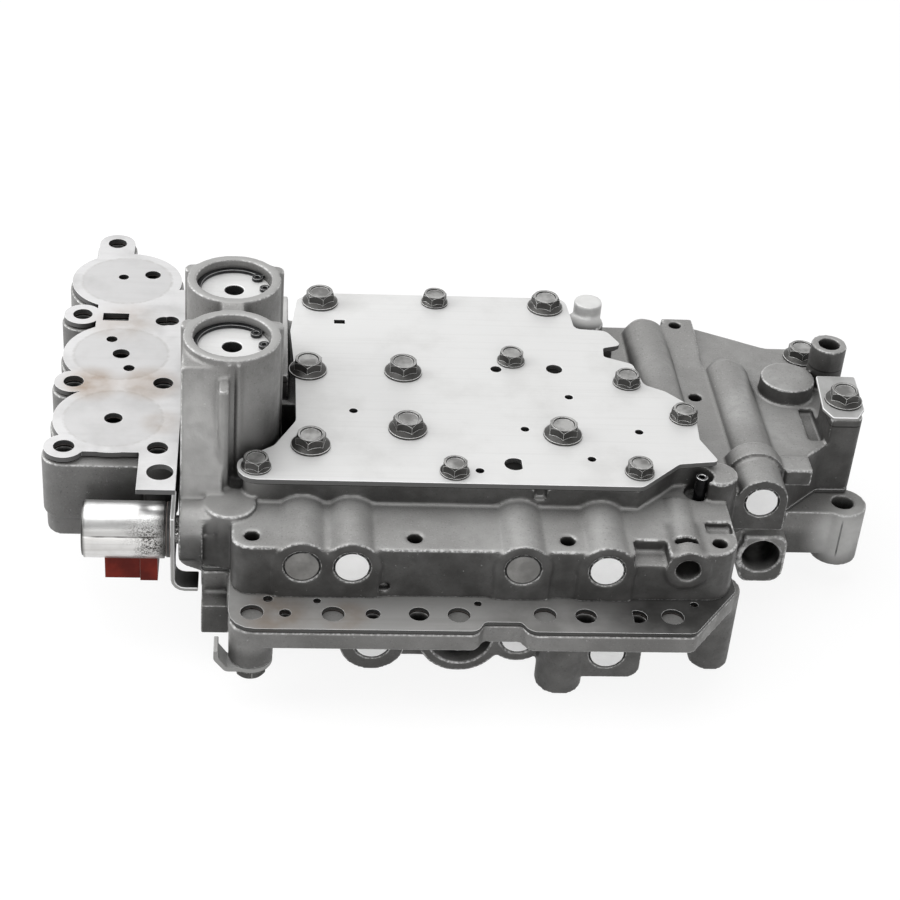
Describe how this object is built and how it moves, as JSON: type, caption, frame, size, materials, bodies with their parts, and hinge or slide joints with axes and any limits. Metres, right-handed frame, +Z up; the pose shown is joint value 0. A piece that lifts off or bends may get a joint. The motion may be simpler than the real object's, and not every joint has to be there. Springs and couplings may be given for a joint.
{
  "type": "transmission valve body",
  "caption": "Die-cast hydraulic control block of an automatic transmission, with spool valves, accumulator towers, a pale steel cover, a side plate on accumulators and a shift solenoid.",
  "frame": {"origin": "middle of the outline in plan, at the level of the feet", "axes": "+X to the right along the row of spool plugs, +Y to the back, +Z up"},
  "size_m": [0.3078, 0.2134, 0.1052],
  "materials": {
    "cast_upper": "dull grey die-cast surface, fine grain, brighter edges",
    "cast_lower": "dull grey die-cast surface, oil-darkened",
    "cast_side": "dull grey die-cast surface",
    "plate": "pale satin steel",
    "side_sheet": "pale satin steel with faint brown stains",
    "separator": "satin steel",
    "gasket": "matt bonded fibre",
    "tower_cover": "turned steel",
    "snap_ring": "phosphated spring steel",
    "piston": "hard anodised",
    "spring": "oiled spring wire",
    "spool": "ground and anodised",
    "plug_dull": "dull grey",
    "plug_bright": "bright faced",
    "sleeve": "dark oiled steel",
    "manual": "ground steel",
    "can": "bright plated, pitted at one end",
    "bobbin": "matt black",
    "connector": "red-brown moulding",
    "bracket": "zinc plated sheet",
    "bolt": "dark phosphated, bright edges",
    "pin": "glossy dark steel",
    "ball": "polished"
  },
  "bodies": {
    "housing": {"upper_body": "cast_upper", "lower_body": "cast_lower", "accumulator_body": "cast_side", "cover_plate": "plate", "cover_gasket": "gasket", "separator_plate": "separator", "separator_gasket": "gasket", "side_plate": "side_sheet", "side_gasket": "gasket", "tower_cover_front": "tower_cover", "tower_cover_rear": "tower_cover", "tower_ring_front": "snap_ring", "tower_ring_rear": "snap_ring", "tower_spring_front": "spring", "tower_spring_rear": "spring", "side_spring_front": "spring", "side_spring_middle": "spring", "side_spring_rear": "spring", "upper_spring_1": "spring", "upper_spring_2": "spring", "upper_spring_3": "spring", "upper_spring_4": "spring", "dull_plugs": "plug_dull", "bright_plugs": "plug_bright", "right_spring": "spring", "lower_spring_1": "spring", "lower_spring_2": "spring", "lower_spring_3": "spring", "lower_plugs": "plug_bright", "regulator_spring": "spring", "regulator_sleeve": "sleeve", "solenoid_can": "can", "solenoid_bobbin": "bobbin", "solenoid_connector": "connector", "solenoid_bracket": "bracket", "flange_bolts": "bolt", "cover_screws": "bolt", "under_bolts": "bolt", "left_bracket": "bracket", "right_bracket": "plate", "spring_pin": "pin", "check_balls": "ball"},
    "upper_spool_1": {"upper_spool_1": "spool"},
    "upper_spool_2": {"upper_spool_2": "spool"},
    "upper_spool_3": {"upper_spool_3": "spool"},
    "upper_spool_4": {"upper_spool_4": "spool"},
    "right_spool": {"right_spool": "spool"},
    "lower_spool_1": {"lower_spool_1": "spool"},
    "lower_spool_2": {"lower_spool_2": "spool"},
    "lower_spool_3": {"lower_spool_3": "spool"},
    "regulator_spool": {"regulator_spool": "spool"},
    "manual_valve": {"manual_valve": "manual"},
    "tower_piston_front": {"tower_piston_front": "piston"},
    "tower_piston_rear": {"tower_piston_rear": "piston"},
    "side_piston_front": {"side_piston_front": "piston"},
    "side_piston_middle": {"side_piston_middle": "piston"},
    "side_piston_rear": {"side_piston_rear": "piston"}
  },
  "joints": [
    {"name": "upper_spool_1_slide", "type": "slide", "parent": "housing", "child": "upper_spool_1", "axis": [0, 1, 0], "range_m": [0, 0.006], "stiffness_N_per_m": 400, "springref_m": -0.005, "deforming": ["upper_spring_1"]},
    {"name": "upper_spool_2_slide", "type": "slide", "parent": "housing", "child": "upper_spool_2", "axis": [0, 1, 0], "range_m": [0, 0.006], "stiffness_N_per_m": 400, "springref_m": -0.005, "deforming": ["upper_spring_2"]},
    {"name": "upper_spool_3_slide", "type": "slide", "parent": "housing", "child": "upper_spool_3", "axis": [0, 1, 0], "range_m": [0, 0.006], "stiffness_N_per_m": 400, "springref_m": -0.005, "deforming": ["upper_spring_3"]},
    {"name": "upper_spool_4_slide", "type": "slide", "parent": "housing", "child": "upper_spool_4", "axis": [0, 1, 0], "range_m": [0, 0.006], "stiffness_N_per_m": 400, "springref_m": -0.005, "deforming": ["upper_spring_4"]},
    {"name": "right_spool_slide", "type": "slide", "parent": "housing", "child": "right_spool", "axis": [0, 1, 0], "range_m": [0, 0.006], "stiffness_N_per_m": 400, "springref_m": -0.005, "deforming": ["right_spring"]},
    {"name": "lower_spool_1_slide", "type": "slide", "parent": "housing", "child": "lower_spool_1", "axis": [0, 1, 0], "range_m": [0, 0.006], "stiffness_N_per_m": 400, "springref_m": -0.005, "deforming": ["lower_spring_1"]},
    {"name": "lower_spool_2_slide", "type": "slide", "parent": "housing", "child": "lower_spool_2", "axis": [0, 1, 0], "range_m": [0, 0.006], "stiffness_N_per_m": 400, "springref_m": -0.005, "deforming": ["lower_spring_2"]},
    {"name": "lower_spool_3_slide", "type": "slide", "parent": "housing", "child": "lower_spool_3", "axis": [0, 1, 0], "range_m": [0, 0.006], "stiffness_N_per_m": 400, "springref_m": -0.005, "deforming": ["lower_spring_3"]},
    {"name": "regulator_slide", "type": "slide", "parent": "housing", "child": "regulator_spool", "axis": [0, 1, 0], "range_m": [0, 0.006], "stiffness_N_per_m": 700, "springref_m": -0.005, "deforming": ["regulator_spring"]},
    {"name": "manual_valve_slide", "type": "slide", "parent": "housing", "child": "manual_valve", "axis": [0, 1, 0], "range_m": [-0.024, 0.008]},
    {"name": "tower_piston_front_slide", "type": "slide", "parent": "housing", "child": "tower_piston_front", "axis": [0, 0, -1], "range_m": [0, 0.022], "stiffness_N_per_m": 1200, "springref_m": -0.012, "deforming": ["tower_spring_front"]},
    {"name": "tower_piston_rear_slide", "type": "slide", "parent": "housing", "child": "tower_piston_rear", "axis": [0, 0, -1], "range_m": [0, 0.022], "stiffness_N_per_m": 1200, "springref_m": -0.012, "deforming": ["tower_spring_rear"]},
    {"name": "side_piston_front_slide", "type": "slide", "parent": "housing", "child": "side_piston_front", "axis": [0, 0, -1], "range_m": [0, 0.005], "stiffness_N_per_m": 1500, "springref_m": -0.004, "deforming": ["side_spring_front"]},
    {"name": "side_piston_middle_slide", "type": "slide", "parent": "housing", "child": "side_piston_middle", "axis": [0, 0, -1], "range_m": [0, 0.005], "stiffness_N_per_m": 1500, "springref_m": -0.004, "deforming": ["side_spring_middle"]},
    {"name": "side_piston_rear_slide", "type": "slide", "parent": "housing", "child": "side_piston_rear", "axis": [0, 0, -1], "range_m": [0, 0.005], "stiffness_N_per_m": 1500, "springref_m": -0.004, "deforming": ["side_spring_rear"]}
  ]
}
